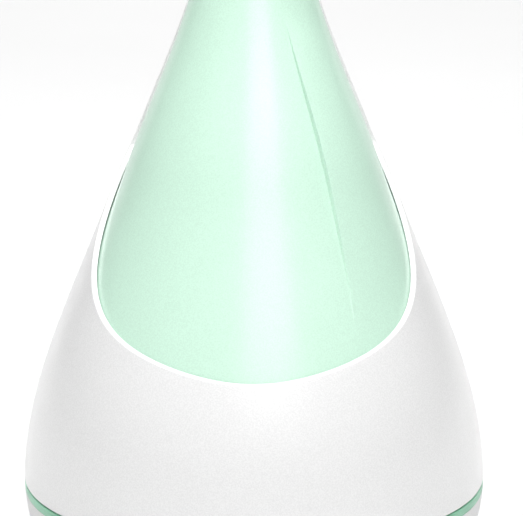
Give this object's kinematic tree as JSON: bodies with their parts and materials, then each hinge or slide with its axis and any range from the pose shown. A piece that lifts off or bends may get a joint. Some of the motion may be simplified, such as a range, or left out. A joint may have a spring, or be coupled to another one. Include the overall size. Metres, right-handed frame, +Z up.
{
  "type": "cool mist humidifier",
  "caption": "Teardrop cool mist humidifier shaped like a flower bud: a lift-off cover over a base with tank, mist disc and fan.",
  "frame": {"origin": "on the table under the body's vertical axis, at the lowest point of the feet", "axes": "+Z up, -Y towards the front, where the window in the shell and the buttons are, +X to the right as seen from the front"},
  "size_m": [0.168, 0.168, 0.2839],
  "materials": {
    "white_shell": "satin",
    "mint_shell": "satin",
    "mint_light_guide": "translucent satin",
    "tank_plastic": "smooth",
    "white_plastic": "satin",
    "grey_plastic": "satin",
    "black_plastic": "satin",
    "duct_plastic": "satin",
    "float_plastic": "foam",
    "ferrite": "dull",
    "foot_rubber": "matte",
    "silicone": "matte",
    "gasket_foam": "matte",
    "steel": "brushed",
    "screw_steel": "bright",
    "bronze": "sintered",
    "gold_plate": "plated",
    "copper": "enamelled wire",
    "board": "solder mask",
    "white_board": "solder mask",
    "chip": "moulded",
    "capacitor_sleeve": "shrink sleeve",
    "lamp": "phosphor",
    "glass_tube": "clear",
    "red_wire": "satin",
    "black_wire": "satin",
    "grey_wire": "satin",
    "ivory_wire": "satin"
  },
  "bodies": {
    "base": {"light_ring": "mint_light_guide", "deck_ring": "tank_plastic", "tank_bowl": "tank_plastic", "air_tube": "tank_plastic", "float_cap": "white_plastic", "reed_switch": "glass_tube", "base_housing": "white_plastic", "rubber_feet": "foot_rubber", "housing_screws": "screw_steel", "mist_disc": "steel", "disc_seal": "silicone", "disc_clamp": "steel", "clamp_screws": "screw_steel", "fan_frame": "black_plastic", "fan_bearing": "bronze", "fan_stator": "copper", "fan_screws": "screw_steel", "air_duct": "duct_plastic", "duct_gasket": "gasket_foam", "main_board": "board", "board_screws": "screw_steel", "wifi_module": "steel", "driver_coil": "copper", "capacitors": "capacitor_sleeve", "board_chips": "chip", "board_sockets": "ivory_wire", "led_board": "white_board", "ring_leds": "lamp", "dc_jack": "black_plastic", "jack_nut": "screw_steel", "jack_pin": "gold_plate", "button_board": "board", "button_screws": "screw_steel", "tact_switches": "black_plastic", "power_leads": "red_wire", "fan_leads": "black_wire", "disc_leads": "grey_wire", "button_leads": "grey_wire", "led_leads": "ivory_wire", "float_leads": "black_wire"},
    "cover": {"outer_shell": "white_shell", "bud_shell": "mint_shell"},
    "lid": {"splash_lid": "tank_plastic"},
    "rotor": {"fan_rotor": "black_plastic", "fan_magnet": "ferrite", "fan_shaft": "screw_steel"},
    "float": {"level_float": "float_plastic", "float_magnet": "ferrite"},
    "mist_key": {"mist_button": "white_plastic", "mist_plunger": "grey_plastic"},
    "light_key": {"light_button": "white_plastic", "light_plunger": "grey_plastic"}
  },
  "joints": [
    {"name": "cover_lift", "type": "slide", "parent": "base", "child": "cover", "axis": [0, 0, 1], "range_m": [0, 0.18]},
    {"name": "lid_lift", "type": "slide", "parent": "base", "child": "lid", "axis": [0, 0, 1], "range_m": [0, 0.09]},
    {"name": "fan_spin", "type": "hinge", "parent": "base", "child": "rotor", "pos_m": [0, 0.024, 0.012], "axis": [0, 0, 1], "continuous": true},
    {"name": "float_rise", "type": "slide", "parent": "base", "child": "float", "axis": [0, 0, 1], "range_m": [0, 0.0084]},
    {"name": "mist_press", "type": "slide", "parent": "base", "child": "mist_key", "axis": [0, 1, 0], "range_m": [0, 0.0005], "stiffness_N_per_m": 400},
    {"name": "light_press", "type": "slide", "parent": "base", "child": "light_key", "axis": [0, 1, 0], "range_m": [0, 0.0005], "stiffness_N_per_m": 400}
  ],
  "couplings": [
    {"joint": "lid_lift", "follows": "cover_lift", "ratio": 0.5}
  ]
}
